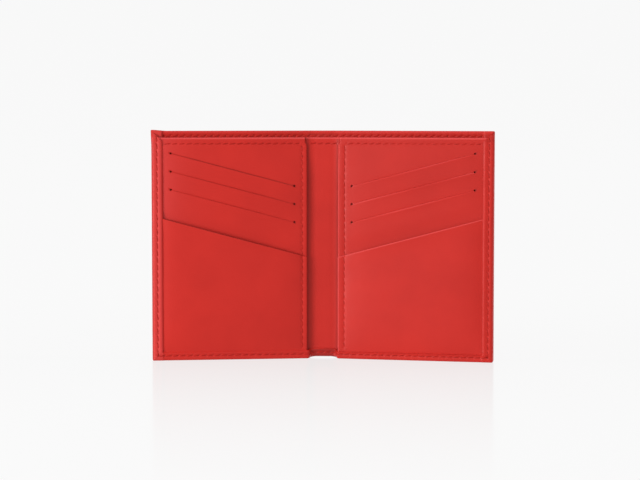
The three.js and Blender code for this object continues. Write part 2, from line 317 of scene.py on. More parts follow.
def side_hem_front(z):
    """Depth of the front of the side hem, which lies over the bottom hem and sinks where there is less
    under it: above the front pocket's mouth, and again above the panels."""
    over_bottom_hem = 1 - step(z, 3.9, 6.4)
    mouth = mouth_height(HEM_EDGE)
    front = HEM_FRONT - 0.16 * over_bottom_hem + 0.55 * step(z, mouth, mouth + 4)
    above_panels = step(z, PANEL_TOP - 0.2, PANEL_TOP + 2.4)
    return front + (TOP_HEM_FRONT - HEM - front) * above_panels


def pocket_swell(u, z):
    """How far the slack front pocket stands forward between its seams."""
    between = (1 - fall(u - PANEL_ROW, 8)) * (1 - fall(HEM_EDGE - u, 4))
    return POCKET_SWELL * between * (1 - fall(z - 3.6, 7))


def panel_swell(u, z):
    """How far the slit panel stands forward above the pocket's mouth, most towards the outer edge."""
    free = step(z - mouth_height(u), 0, 9)
    between = (1 - 0.5 * fall(u - PANEL_ROW, 6)) * (1 - fall(HEM_EDGE - u, 4.5))
    return PANEL_SWELL * free * between * (1 - fall(DIVIDER_ROW - z, 7))


# ---------- mesh building

def stations(*stretches):
    """Places along a line. Each stretch is (start, end, pace) and begins where the last one ended."""
    runs = []
    for start, end, pace in stretches:
        runs.append(np.linspace(start, end, max(1, round((end - start) / pace)), endpoint=False))
    return np.append(np.concatenate(runs), stretches[-1][1])


STITCH_STEPS = np.array([0, 0.09, 0.18, 0.32, 0.5, 0.68, 0.82, 0.91])  # closest together at the holes
FINE = len(STITCH_STEPS)


def seam_stations(first, pitch, count, end):
    """Places from 0 to end, in steps that follow the holes. Every FINE-th one is a hole or an end."""
    before = first * np.arange(FINE) / FINE if first else []
    holes = first + pitch * (np.arange(count)[:, None] + STITCH_STEPS).ravel()
    last = first + pitch * count
    return np.concatenate([before, holes, last + (end - last) * np.arange(FINE + 1) / FINE])


def grid_faces(shape, start=0, keep=None):
    """Quads over a grid of vertices numbered row by row from start, without the cells not in keep."""
    index = start + np.arange(shape[0] * shape[1]).reshape(shape)
    quads = np.stack([index[:-1, :-1], index[1:, :-1], index[1:, 1:], index[:-1, 1:]], axis=-1)
    return (quads[keep] if keep is not None else quads.reshape(-1, 4)).tolist()


def strip_faces(shape, start, fine_blocks):
    """Faces over a grid whose rows are close together, joining FINE rows where a block of columns is
    plain. A joined face keeps the corners that it shares with a fine block."""
    index = start + np.arange(shape[0] * shape[1]).reshape(shape)
    faces = []
    for block in range(shape[1] - 1):
        a, b = index[:, block], index[:, block + 1]
        if block in fine_blocks:
            faces += [[a[r], a[r + 1], b[r + 1], b[r]] for r in range(shape[0] - 1)]
            continue
        for r in range(0, shape[0] - 1, FINE):
            near = list(a[r:r + FINE + 1]) if block - 1 in fine_blocks else [a[r], a[r + FINE]]
            far = list(b[r:r + FINE + 1]) if block + 1 in fine_blocks else [b[r], b[r + FINE]]
            faces.append(near + far[::-1])
    return [[int(i) for i in face] for face in faces]


def free_edges(faces):
    """Directed edges that only one face has."""
    edges = {(a, b) for face in faces for a, b in zip(face, face[1:] + face[:1])}
    return [edge for edge in edges if edge[::-1] not in edges]


def flat_mesh(points, faces):
    """A bmesh from arrays, with a layer for each vertex's edge tone, from 1, dark with edge dye or
    painted shade, to -1, pale with a painted highlight."""
    mesh = bpy.data.meshes.new("flat")
    mesh.from_pydata(points.tolist(), [], faces)
    bm = bmesh.new()
    bm.from_mesh(mesh)
    bpy.data.meshes.remove(mesh)
    bm.verts.ensure_lookup_table()
    bm.faces.ensure_lookup_table()
    return bm, bm.verts.layers.float.new("edge_dye_shade_highlight")


def finish_mesh(bm, name, side, material):
    """Turns flat leaf points into a placed object with smooth faces and crisp corners."""
    bmesh.ops.delete(bm, geom=[v for v in bm.verts if not v.link_faces], context="VERTS")
    bmesh.ops.recalc_face_normals(bm, faces=bm.faces)
    flat = np.array([v.co for v in bm.verts])
    for vertex, spot in zip(bm.verts, place(side, flat)):
        vertex.co = spot
    if SIDES[side] < 0:
        bmesh.ops.reverse_faces(bm, faces=bm.faces)
    mesh = bpy.data.meshes.new(name)
    bm.to_mesh(mesh)
    bm.free()
    mesh.shade_smooth()
    mesh.set_sharp_from_angle(angle=math.radians(CREASE_ANGLE))
    mesh.materials.append(material)
    piece = bpy.data.objects.new(name, mesh)
    bpy.context.scene.collection.objects.link(piece)
    return piece


def slab(name, side, material, front, back, rounding=0, keep=None, tone=None):
    """A sheet between two grids of points (u, depth, z). Its cut edges are rounded, but not at u = 0.
    tone gives the edge tone from u, z and on_cut, which is 1 on a cut edge and 0 elsewhere."""
    shape = front.shape[:2]
    count = shape[0] * shape[1]
    face = grid_faces(shape, keep=keep)
    rim = free_edges(face)
    behind = [[i + count for i in f[::-1]] for f in face]
    walls = [[b, a, a + count, b + count] for a, b in rim]
    points = np.concatenate([front.reshape(-1, 3), back.reshape(-1, 3)])
    bm, edge_dye_shade_highlight = flat_mesh(points, face + behind + walls)
    if rounding:
        at_middle = [points[ends, 0].max() < HAIR for ends in rim]
        cut = [f for f, skip in zip(bm.faces[2 * len(face):], at_middle) if not skip]
        edges = {e for f in cut for e in f.edges if len({v.index // count for v in e.verts}) == 1}
        rounded = bmesh.ops.bevel(
            bm, geom=list(edges), offset=rounding, offset_type="OFFSET", segments=3, profile=0.5,
            affect="EDGES", clamp_overlap=True,
        )
        on_cut = {v for f in rounded["faces"] for v in f.verts}
        spots = np.array([(v.co.x, v.co.z, v in on_cut) for v in bm.verts])
        for v, value in zip(bm.verts, tone(*spots.T)):
            v[edge_dye_shade_highlight] = value
    return finish_mesh(bm, name, side, material)


def top_edge(z):
    """1 along the top edge of the inner sheets, where a highlight is painted."""
    return step(z, PANEL_TOP - WORN, PANEL_TOP - 0.4)


def lip(below):
    """1 on the narrow lip below a slit or the pocket's mouth."""
    return (below > -0.01) * (1 - step(below, 0.135, 0.585))


def inner_edge(u, side):
    """1 along the edge that a panel shows in the gutter."""
    return 1 - step(u, INNER_EDGE[side] + 0.3, INNER_EDGE[side] + 0.7)


def sheet_grid(u, z, depth):
    """A grid of (u, depth, z) points from equal-shaped arrays."""
    return np.stack(np.broadcast_arrays(u, depth, z), axis=-1).astype(float)


# ---------- materials

def node(tree, kind, inputs=(), **settings):
    """Adds a shader node. inputs pairs a socket's name or number with a value or a node's output."""
    made = tree.nodes.new(kind)
    for key, value in settings.items():
        setattr(made, key, value)
    for socket, value in inputs:
        if isinstance(value, bpy.types.NodeSocket):
            tree.links.new(value, made.inputs[socket])
        else:
            made.inputs[socket].default_value = value
    return made


def ramp(tree, factor, low, high, start=0.0, end=1.0):
    """Mixes two colours as factor goes from start to end."""
    made = node(tree, "ShaderNodeValToRGB", [("Fac", factor)])
    for element, position, colour in zip(made.color_ramp.elements, (start, end), (low, high)):
        element.position = position
        element.color = (*colour, 1)
    return made.outputs["Color"]


def spread(tree, value, low, high, start=0.0, end=1.0):
    """Maps value from start..end to low..high."""
    ends = [("From Min", start), ("From Max", end), ("To Min", low), ("To Max", high)]
    return node(tree, "ShaderNodeMapRange", [("Value", value), *ends]).outputs["Result"]


def maths(tree, operation, *values):
    """Does a sum on numbers or sockets."""
    return node(tree, "ShaderNodeMath", list(enumerate(values)), operation=operation).outputs[0]


def mixed(tree, factor, a, b):
    """Mixes two colours, all a where factor is 0 and all b where it is 1."""
    inputs = [(0, factor), (6, a), (7, b)]
    return node(tree, "ShaderNodeMix", inputs, data_type="RGBA").outputs[2]


def new_material(name):
    """A material with its shader, and the object's own coordinates."""
    material = bpy.data.materials.new(name)
    material.use_nodes = True
    tree = material.node_tree
    shader = tree.nodes["Principled BSDF"]
    place_on = node(tree, "ShaderNodeTexCoord").outputs["Object"]
    return material, tree, shader, place_on


def noise(tree, place_on, size, detail=2.0, rough=0.5):
    """Noise with features about size millimetres across, from 0 to 1."""
    kind = [("Scale", 1 / (size * MM)), ("Detail", detail), ("Roughness", rough)]
    return node(tree, "ShaderNodeTexNoise", [("Vector", place_on), *kind]).outputs["Fac"]


def bump(tree, shader, height, depth):
    """Raises the surface by height times depth millimetres."""
    inputs = [("Strength", 1.0), ("Distance", depth * MM), ("Height", height)]
    tree.links.new(node(tree, "ShaderNodeBump", inputs).outputs["Normal"], shader.inputs["Normal"])


def leather_material(name, colour, shade):
    """Smooth dyed calf: fine pebbled grain, soft creases and slow changes of tone. Where the edge tone
    is above 0 the leather is darker and smoother, from edge dye on its cut edges and from painted shade
    on lips, creases and recessed hems, and where it is below 0 it turns a paler red, a painted
    highlight."""
    material, tree, shader, place_on = new_material(name)
    fine = noise(tree, place_on, 0.35, 3)
    cell = [("Vector", place_on), ("Scale", 1 / (0.6 * MM)), ("Randomness", 1.0)]
    grain = node(tree, "ShaderNodeTexVoronoi", cell, feature="SMOOTH_F1").outputs["Distance"]
    pebble = spread(tree, grain, 1.0, 0.0, 0.0, 0.75)
    crease = noise(tree, place_on, 5.0, 4, 0.6)
    cloud = noise(tree, place_on, 26.0, 3, 0.55)
    tone = maths(tree, "MULTIPLY_ADD", fine, 0.12, cloud)
    base = ramp(tree, tone, shade, colour, 0.35, 0.75)
    edge_dye_shade_highlight = node(tree, "ShaderNodeAttribute", attribute_name="edge_dye_shade_highlight").outputs["Fac"]
    dye_and_shade = spread(tree, edge_dye_shade_highlight, 0.0, 1.0)
    painted_highlight = spread(tree, edge_dye_shade_highlight, 0.0, 1.0, 0.0, -1.0)
    # Darker where edge dye or painted shade lies, paler where a painted highlight lies
    base = mixed(tree, dye_and_shade, base, (*(0.5 * part for part in colour), 1))
    tree.links.new(mixed(tree, painted_highlight, base, (*PAINTED_HIGHLIGHT_RED, 1)), shader.inputs["Base Color"])
    matt = spread(tree, crease, 0.46, 0.56, 0.3, 0.7)
    matt = maths(tree, "MULTIPLY", matt, spread(tree, dye_and_shade, 1.0, 0.8))
    tree.links.new(matt, shader.inputs["Roughness"])
    height = maths(tree, "MULTIPLY_ADD", crease, 2.0, maths(tree, "MULTIPLY_ADD", fine, 0.4, pebble))
    bump(tree, shader, maths(tree, "MULTIPLY", height, spread(tree, dye_and_shade, 1.0, 0.3)), 0.018)
    shader.inputs["Specular IOR Level"].default_value = 0.30
    return material


def cloth_material(name, colour, shade):
    """A fine plain weave: crossing ribs a quarter of a millimetre apart, with uneven yarns."""
    material, tree, shader, place_on = new_material(name)
    parts = node(tree, "ShaderNodeSeparateXYZ", [("Vector", place_on)])
    turns = 2 * math.pi / (0.25 * MM)
    along, up = (maths(tree, "MULTIPLY", parts.outputs[axis], turns) for axis in ("X", "Z"))
    ribs = maths(tree, "MULTIPLY", maths(tree, "SINE", along), maths(tree, "SINE", up))
    slub = noise(tree, place_on, 1.4, 3)
    height = maths(tree, "MULTIPLY_ADD", slub, 0.8, ribs)
    base = ramp(tree, spread(tree, height, 0.0, 1.0, -0.6, 1.4), shade, colour)
    tree.links.new(base, shader.inputs["Base Color"])
    bump(tree, shader, height, 0.03)
    shader.inputs["Roughness"].default_value = 0.9
    shader.inputs["Specular IOR Level"].default_value = 0.2
    return material


def thread_material(name, colour, shade):
    """Bonded thread: its tone varies along it, with fine fibres."""
    material, tree, shader, place_on = new_material(name)
    fibre = noise(tree, place_on, 0.12, 2)
    tone = maths(tree, "MULTIPLY_ADD", fibre, 0.3, noise(tree, place_on, 2.5, 2))
    tree.links.new(ramp(tree, tone, shade, colour, 0.3, 0.9), shader.inputs["Base Color"])
    tree.links.new(spread(tree, fibre, 0.42, 0.6), shader.inputs["Roughness"])
    bump(tree, shader, fibre, 0.02)
    shader.inputs["Specular IOR Level"].default_value = 0.19
    return material


def board_material(name):
    """Grey bonded board with flecks of fibre."""
    material, tree, shader, place_on = new_material(name)
    fleck = noise(tree, place_on, 0.8, 5, 0.7)
    base = ramp(tree, fleck, (0.12, 0.10, 0.09), (0.34, 0.30, 0.26), 0.35, 0.65)
    tree.links.new(base, shader.inputs["Base Color"])
    bump(tree, shader, fleck, 0.05)
    shader.inputs["Roughness"].default_value = 0.92
    return material


RED = (0.620, 0.0188, 0.0110)
DEEP_RED = (0.555, 0.0152, 0.0087)
# Painted highlight: the pale red that the leather turns to where the edge tone is below 0
PAINTED_HIGHLIGHT_RED = (0.77, 0.078, 0.076)
COVER_LEATHER = leather_material("cover_leather", RED, DEEP_RED)
INNER_LEATHER = leather_material("inner_leather", RED, DEEP_RED)
LINING_CLOTH = cloth_material("lining_cloth", (0.30, 0.008, 0.005), (0.17, 0.004, 0.003))
# Painted shade: the thread is a darker red than the leather it matches, so that the seams read darker
THREAD = thread_material("thread", (0.51, 0.015, 0.009), (0.40, 0.011, 0.006))
BOARD = board_material("board")


# ---------- the cover

BESIDE_ROW = np.array([0.9, 0.5, 0.25, 0, -0.25, -0.5, -0.8])  # columns of points beside a seam
QUARTER = 5  # points in each quarter turn of the rounded edge


def rim_profile(front, width, under, row, radius, dome):
    """The border in section, as (inset, depth) points: the back face, round the edge, the hem as far
    as its skived edge, and back along the inside. front and under are the depths of the hem's two
    faces, row is the inset of its seam, and beyond the seam the hem falls back by dome."""
    def face(inset):
        return front + dome * np.clip(1 - inset / row, 0, 1) ** 2

    quarter = np.linspace(0, math.pi / 2, QUARTER)
    skived = min(1.1, width - row - BESIDE_ROW[0] - 0.05)
    points = [(RIM, COVER_BACK), (5.0, COVER_BACK)]
    points += [(inset, COVER_BACK) for inset in row + BESIDE_ROW]
    points += [(radius * (1 - math.sin(a)), COVER_BACK - radius * (1 - math.cos(a))) for a in quarter]
    points += [(inset, face(inset) + radius * (1 - math.sin(a)))
               for a, inset in zip(quarter, radius * (1 - np.cos(quarter)))]
    points += [(inset, face(inset)) for inset in (row + BESIDE_ROW)[::-1]]
    points += [(width - skived * share, front + (under - front) * drop)
               for share, drop in ((0.95, 0.03), (0.6, 0.12), (0.3, 0.32), (0.1, 0.6), (0, 0.85))]
    points += [(width - 0.1, under), ((width + COVER) / 2, under), (COVER, under)]
    points += [(COVER, COVER_BACK - COVER), (RIM, COVER_BACK - COVER)]
    return np.array(points)


# Which of rim_profile's points lie beside the seam on the back, and which on the hem: from its rounded
# edge to its ridge, beside its seam, and on its skived edge. The rows of the FINE_BLOCKS aren't joined.
BACK_SEAM = range(2, 2 + len(BESIDE_ROW))
HEM_START = BACK_SEAM.stop + QUARTER
HEM_SEAM = range(HEM_START + QUARTER, HEM_START + QUARTER + len(BESIDE_ROW))
HEM_RIDGE = range(HEM_SEAM.stop - 1, HEM_SEAM.stop + 2)
HEM_FACE = range(HEM_START, HEM_RIDGE.stop)
HEM_CUT = range(HEM_FACE.stop, HEM_FACE.stop + 4)
FINE_BLOCKS = range(BACK_SEAM.start, HEM_CUT.stop - 1)


def at_side_hem(u):
    """0 beside the side hem and 1 on it, and then the same a little further out."""
    return [step(u, HEM_EDGE + lag - 0.2, HEM_EDGE + lag + 0.2) for lag in (0, 0.5)]


def rim_runs(side, us, zs):
    """The border along the top edge, down the outer edge and along the bottom edge, as three grids."""
    def top(u):
        on_hem, late = at_side_hem(u)
        front = TOP_HEM_FRONT + (side_hem_front(HEIGHT) - TOP_HEM_FRONT) * on_hem
        top_under, side_under = TOP_HEM_FRONT + TOP_HEM, side_hem_front(HEIGHT) + HEM
        under = top_under + (side_under - top_under) * late
        width = TOP_HEM_HEIGHT + (SIDE_HEM_WIDTH - TOP_HEM_HEIGHT) * on_hem
        profile = rim_profile(front, width, under, HEIGHT - TOP_ROW, radius=0.7, dome=-0.3)
        return np.minimum(u, OUTER_EDGE - profile[:, 0]), profile[:, 1], HEIGHT - profile[:, 0]

    def outer(z):
        front = side_hem_front(z)
        under, row = front + HEM, OUTER_EDGE - SIDE_ROW
        profile = rim_profile(front, SIDE_HEM_WIDTH, under, row, radius=1.0, dome=0.5)
        inset = profile[:, 0]
        return OUTER_EDGE - inset, profile[:, 1], np.clip(z, inset, HEIGHT - inset)

    def bottom(u):
        on_hem, late = at_side_hem(u)
        front = bottom_hem_front(u) + (side_hem_front(0) - bottom_hem_front(u)) * on_hem
        under = bottom_hem_front(u - 0.3) + HEM
        width = GUTTER_HEM_HEIGHT + (BOTTOM_HEM_HEIGHT[side] - GUTTER_HEM_HEIGHT) * on_leaf(u)
        width = width + (SIDE_HEM_WIDTH - width) * late
        radius = 0.55 + 0.75 * (1 - on_leaf(u))
        profile = rim_profile(front, width, under, BOTTOM_ROW, radius, dome=0.55)
        return np.minimum(u, OUTER_EDGE - profile[:, 0]), profile[:, 1], profile[:, 0]

    runs = ((top, us), (outer, zs[::-1]), (bottom, us[::-1]))
    return [np.array([np.stack(section(t), axis=1) for t in places]) for section, places in runs]


def round_corners(points):
    """Rounds the outline's two outer corners seen from the front."""
    radius = 0.6
    for middle, sign in ((HEIGHT - radius, 1), (radius, -1)):
        a = points[:, 0] - (OUTER_EDGE - radius)
        b = sign * (points[:, 2] - middle)
        inside = (a > 0) & (b > 0)
        shrink = np.maximum(a, b)[inside] / np.hypot(a, b)[inside]
        points[inside, 0] = OUTER_EDGE - radius + a[inside] * shrink
        points[inside, 2] = middle + sign * b[inside] * shrink


def cover_back(u, z):
    """The outside of the cover: pressed at its edges, with the leather's own unevenness."""
    crown = step(OUTER_EDGE - u, 0, 9) * step(z, 0, 9) * step(HEIGHT - z, 0, 9)
    return COVER_BACK - 0.35 * (1 - crown) + 0.10 * ripple(u, z, 0.7) * step(u, 0, 12)


def shape_cover(points, column, side):
    """Presses the seams in and lets the rest of the cover stand up."""
    u, depth, z = points.T.copy()
    raised = cover_back(u, z) - COVER_BACK
    depth = np.where(depth < 0, depth * hem_squeeze(u, z), depth + raised * (depth > SKIN_DEPTH))
    depth -= np.isin(column, BACK_SEAM) * dents(("side", "bottom", "outer_top"), u, z, side)
    depth += np.isin(column, HEM_SEAM) * dents(("top", "side", "bottom"), u, z, side)
    points[:, 1] = depth - 0.16 * np.isin(column, HEM_RIDGE)


def hem_tone(points, column, side):
    """The edge tone of the cover. The right leaf's skived edges are dyed, and the left leaf's are left
    undyed, painted light on their shadowed edge. Painted shade darkens the turned edge at the top, twice
    as much in the gutter, and the gutter's foot. A painted sheen lies along the top edge and over the
    left hem, as far as its darker outer edge."""
    u, _, z = points.T
    in_gutter = 1 - on_leaf(u)
    # Painted shade on the top hem band, twice as strong in the gutter, and on the gutter's foot
    painted_shade = TOP_HEM_SHADE * (1 + in_gutter) * step(z, PANEL_TOP - 3, PANEL_TOP - 1)
    painted_shade = painted_shade + GUTTER_FOOT_SHADE * in_gutter * (1 - step(z, 4, 6))
    # Painted sheen along the top edge
    at_top = step(z, HEIGHT - 1.3, HEIGHT - 0.5)
    face = painted_shade * (1 - at_top) - COVER_TOP_SHEEN * at_top
    if side == "left":
        # Painted sheen on the left hem, and darker along its outer edge
        on_hem = step(u, HEM_EDGE, HEM_EDGE + 0.5)
        at_edge = step(u, OUTER_EDGE - 0.8, OUTER_EDGE - 0.2)
        hem = (LEFT_EDGE_DARKENING + LEFT_HEM_SHEEN) * at_edge - LEFT_HEM_SHEEN
        face = face * (1 - on_hem) + hem * on_hem
    # Skived edges: dyed on the right leaf, left undyed on the left as painted light
    return np.where(np.isin(column, HEM_CUT), SKIVED_DYE_AND_PAINTED_LIGHT[side], face * np.isin(column, HEM_FACE))


def cover_half(side):
    """The outer leather from the middle of the spine to one outer edge, with its edges turned in."""
    us = seam_stations(0, PITCH_ALONG, STITCHES_ALONG, OUTER_EDGE)
    zs = seam_stations(BOTTOM_ROW, PITCH_UP, STITCHES_UP, HEIGHT)
    points, faces, columns = [], [], []
    for run in rim_runs(side, us, zs):
        faces += strip_faces(run.shape[:2], sum(map(len, points)), FINE_BLOCKS)
        points.append(run.reshape(-1, 3))
        columns.append(np.tile(np.arange(run.shape[1]), run.shape[0]))
    # The plain middle meets the border at the holes, from the one at each of its corners onwards.
    across = us[::FINE][:STITCHES_ALONG - 1]
    up = zs[::FINE][3:-3]
    u, z = np.meshgrid(across, up, indexing="ij")
    for depth, flip in ((COVER_BACK, -1), (COVER_BACK - COVER, 1)):
        faces += [f[::flip] for f in grid_faces(u.shape, sum(map(len, points)))]
        points.append(sheet_grid(u, z, depth).reshape(-1, 3))
        columns.append(np.full(u.size, -1))
    points, column = np.concatenate(points), np.concatenate(columns)
    round_corners(points)
    shape_cover(points, column, side)
    bm, edge_dye_shade_highlight = flat_mesh(points, faces)
    for index, tone in enumerate(hem_tone(points, column, side)):
        bm.verts[index][edge_dye_shade_highlight] = tone
    bmesh.ops.remove_doubles(bm, verts=bm.verts, dist=1e-4)
    bmesh.ops.holes_fill(bm, edges=[e for e in bm.edges if e.is_boundary], sides=0)
    piece = finish_mesh(bm, side + "_cover_leather", side, COVER_LEATHER)
    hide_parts(side + "_cover", "spine_cover")
    return piece


# ---------- the inner sheets

def divider_tone(side):
    """The edge tone of the divider: its cut edges are dyed, its top edge carries a painted highlight,
    and a painted shadow lies in the crease beside the panels."""
    def tone(u, z, on_cut):
        # Painted shadow beside the panel's edge
        crease = CREASE_SHADOW * np.exp(-((u - INNER_EDGE[side] + 0.5) / 0.6) ** 2)
        return np.maximum(on_cut, crease) * (1 - top_edge(z)) - SHEET_TOP_HIGHLIGHT * top_edge(z)
    return tone


def divider_half(side):
    """The leather behind the panels, which shows in the gutter and along the top."""
    us = stations((0, 9, 0.5), (9, SHEET_EDGE, 3.4))
    zs = stations(
        (SHEET_FOOT, 4, 1.0), (4, 97, 1.5), (97, PANEL_TOP - WORN, 0.35),
        (PANEL_TOP - WORN, PANEL_TOP, 0.15),
    )
    u, z = np.meshgrid(us, zs, indexing="ij")
    in_gutter = 1 - step(u, 5, 8)
    sag = in_gutter * (0.12 * ripple(u, z, 2.1) + dents(("gutter_divider",), u, z, side))
    front = sheet_grid(u, z, DIVIDER_FRONT + sag + edge_drop(PANEL_TOP - z, WORN, WORN_DROP))
    back = sheet_grid(u, z, DIVIDER_BACK + 0.3 * sag)
    piece = slab(side + "_divider_leather", side, INNER_LEATHER, front, back, rounding=0.08,
                 tone=divider_tone(side))
    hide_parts(side + "_divider", "spine_divider")
    return piece


def slit_panel_grid(side):
    """Columns and sheared rows for the slit panel, so that a row of cells lies along each slit."""
    inner, outer, punch = SLIT_INNER_END, SLIT_OUTER_END, PUNCH_RADIUS
    ends = [(-punch, -punch / 3), (-punch / 3, punch / 3), (punch / 3, punch)]
    us = stations(
        (INNER_EDGE[side], PANEL_ROW + 1.3, 0.24), (PANEL_ROW + 1.3, inner - punch, 0.5),
        *((inner + a, inner + b, 1) for a, b in ends), (inner + punch, outer - punch, 0.85),
        *((outer + a, outer + b, 1) for a, b in ends), (outer + punch, SHEET_EDGE, 0.9),
    )
    lips = [(-punch, -SLIT_GAP / 2), (-SLIT_GAP / 2, SLIT_GAP / 2), (SLIT_GAP / 2, punch)]
    levels = [(SHEET_FOOT, 4, 0.6)]
    for tier in (2, 1, 0):
        middle = TOP_SLIT_HEIGHT - tier * SLIT_PITCH
        levels.append((levels[-1][1], middle - punch, 0.42))
        levels += [(middle + a, middle + b, 1) for a, b in lips]
    levels += [(levels[-1][1], PANEL_TOP - WORN, 0.42), (PANEL_TOP - WORN, PANEL_TOP, 0.15)]
    heights = stations(*levels)
    lowest = TOP_SLIT_HEIGHT - 2 * SLIT_PITCH
    rise = SLIT_RISE * step(heights, 30, lowest - 2)
    above = heights > TOP_SLIT_HEIGHT + punch + HAIR
    rise[above] = SLIT_RISE * (PANEL_TOP - heights[above]) / (PANEL_TOP - TOP_SLIT_HEIGHT - punch)
    along = (us - inner) / (outer - inner)
    return us, heights, heights[None, :] + rise[None, :] * along[:, None]


def punch_hole(u, z, block, middle_u, middle_z):
    """Moves the outline of a block of cells onto a round hole."""
    du = u[block] - middle_u
    dz = z[block] - middle_z - SLIT_RISE / (SLIT_OUTER_END - SLIT_INNER_END) * du
    rim = np.maximum(abs(du), abs(dz)) > 0.9 * PUNCH_RADIUS
    scale = np.where(rim, PUNCH_RADIUS / np.maximum(np.hypot(du, dz), HAIR), 1)
    u[block] = middle_u + du * scale
    z[block] = middle_z + dz * scale


def slit_lift(u, z):
    """How far the leather below each slit stands forward, most at the middle of the slit. The leather
    above it sinks a little."""
    along = np.clip((u - SLIT_INNER_END) / (SLIT_OUTER_END - SLIT_INNER_END), 0, 1)
    bow = np.sin(math.pi * along) ** 0.7
    lift = 0
    for tier in range(3):
        below = slit_height(tier, u) - z
        lower = np.exp(-np.abs(below) / 3) - 0.5 * edge_drop(np.maximum(below, 0), 0.6, 1)
        upper = -0.12 * np.exp(-np.abs(below) / 1.5)
        lift = lift + bow * np.where(below > 0, SLIT_LIFT * lower, upper)
    return lift


def slit_tone(side):
    """The edge tone of a slit panel: its cut edges are dyed and its top edge carries a painted
    highlight. On the left leaf the slits' lips are darkened with painted shade and a painted sheen lies
    beside the side hem; on the right leaf the slits' lips and the edge in the gutter carry a painted
    highlight, and the whole panel a painted shade."""
    def tone(u, z, on_cut):
        # Painted highlight along the top edge
        painted_highlight = SHEET_TOP_HIGHLIGHT * top_edge(z)
        # Edge dye on cut edges, and painted shade over the right leaf's panel
        dye_and_shade = np.maximum(on_cut, PANEL_SHADE[side]) * (1 - painted_highlight)
        # Painted highlight along the right leaf's edge in the gutter
        painted_highlight = np.maximum(painted_highlight, LIP_HIGHLIGHT[side] * INNER_EDGE_HIGHLIGHT * inner_edge(u, side))
        # Painted sheen beside the left leaf's side hem
        painted_highlight = np.maximum(painted_highlight, PANEL_SHEEN[side] * fall(HEM_EDGE - u, 7))
        for tier, dye in enumerate(SLIT_SHADE):
            below = slit_height(tier, u) - z
            near = (u > SLIT_INNER_END) * (u < SLIT_OUTER_END) * (abs(below) < 1)
            # Painted shade on the left leaf's slit lips; the right leaf's keep only the panel's painted
            # shade
            dye_and_shade = np.where(near, np.maximum(on_cut * dye * LIP_SHADE[side], PANEL_SHADE[side]), dye_and_shade)
            uneven = 0.65 + 0.35 * np.sin(u / 8 + 1.5 - 2.5 * tier)
            # Painted highlight on the right leaf's slit lips, uneven along them
            painted_highlight = np.maximum(painted_highlight, near * uneven * LIP_HIGHLIGHT[side] * lip(below))
        return dye_and_shade - painted_highlight
    return tone


def slit_panel(side):
    """The panel with three punched and cut slits, each lower lip standing a little proud."""
    us, heights, z = slit_panel_grid(side)
    u = np.repeat(us[:, None], len(heights), axis=1)
    keep = np.ones((len(us) - 1, len(heights) - 1), bool)
    ends = (SLIT_INNER_END, SLIT_OUTER_END)
    columns = [np.searchsorted(us, end - PUNCH_RADIUS - HAIR) for end in ends]
    for tier in range(3):
        row = np.searchsorted(heights, TOP_SLIT_HEIGHT - tier * SLIT_PITCH - PUNCH_RADIUS - HAIR)
        keep[columns[0]:columns[1] + 3, row + 1] = False
        for end, column in zip(ends, columns):
            keep[column:column + 3, row:row + 3] = False
            punch_hole(u, z, np.s_[column:column + 4, row:row + 4], end, slit_height(tier, end))
    from_edge = u - INNER_EDGE[side]
    notch = 0.7 * step(z, PANEL_TOP - 3.8, PANEL_TOP - 2) * (1 - step(from_edge, 0, 4))
    forward = slit_lift(u, z) + panel_swell(u, z) - 0.10 * ripple(u, z, 1.0 + SIDES[side])
    pull = dents(("panel", "panel_divider"), u, z, side)
    drop = edge_drop(np.minimum(from_edge, PANEL_TOP - z), WORN, WORN_DROP)
    middle = SLIT_PANEL_BACK * squeeze(u, z) - forward
    front = sheet_grid(u + notch, z, middle - PANEL_THICKNESS + pull + drop)
    back = sheet_grid(u + notch, z, middle + 0.3 * pull)
    piece = slab(side + "_slit_panel_leather", side, INNER_LEATHER, front, back, rounding=0.05,
                 keep=keep, tone=slit_tone(side))
    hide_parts(side + "_slit_panel")
    return piece


def pocket_tone(side):
    """The edge tone of a front pocket: on the left leaf its cut edges are darkened, painted shade on its
    mouth, and on the right leaf its mouth and its edge in the gutter carry a painted highlight, as the
    slits' lips do.
    """
    def tone(u, z, on_cut):
        # Painted shade on the left leaf's cut edges; painted highlight on the right leaf's mouth and
        # edge in the gutter
        painted_highlight = np.maximum(INNER_EDGE_HIGHLIGHT * inner_edge(u, side), lip(mouth_height(u) - z))
        return LIP_SHADE[side] * on_cut - LIP_HIGHLIGHT[side] * painted_highlight
    return tone


def front_pocket(side):
    """The lowest pocket, with a slanting mouth that stands a little open."""
    us = stations((INNER_EDGE[side], PANEL_ROW + 1.3, 0.24), (PANEL_ROW + 1.3, SHEET_EDGE, 0.9))
    shares = stations((0, 0.96, 0.008), (0.96, 1, 0.004))
    u = np.repeat(us[:, None], len(shares), axis=1)
    z = SHEET_FOOT + shares[None, :] * (mouth_height(u) - SHEET_FOOT)
    along = np.clip((u - PANEL_ROW) / (SIDE_ROW - PANEL_ROW), 0, 1)
    below = mouth_height(u) - z
    gape = MOUTH_GAPE[side] * np.sin(math.pi * along) ** 0.4 * np.exp(-below / 4)
    wave = 0.12 * ripple(u, z, 3.0 + SIDES[side]) * step(below, 0, 20)
    forward = gape + pocket_swell(u, z) + 0.05 - wave
    pull = dents(("panel",), u, z, side)
    drop = np.maximum(edge_drop(u - INNER_EDGE[side], WORN, 0.38), edge_drop(below, 0.5, 0.25))
    press = squeeze(u, z)
    front = sheet_grid(u, z, POCKET_FRONT * press - forward + pull + drop)
    back = sheet_grid(u, z, POCKET_BACK * press - forward + 0.3 * pull)
    piece = slab(side + "_front_pocket_leather", side, INNER_LEATHER, front, back, rounding=0.17,
                 tone=pocket_tone(side))
    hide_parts(side + "_front_pocket")
    return piece


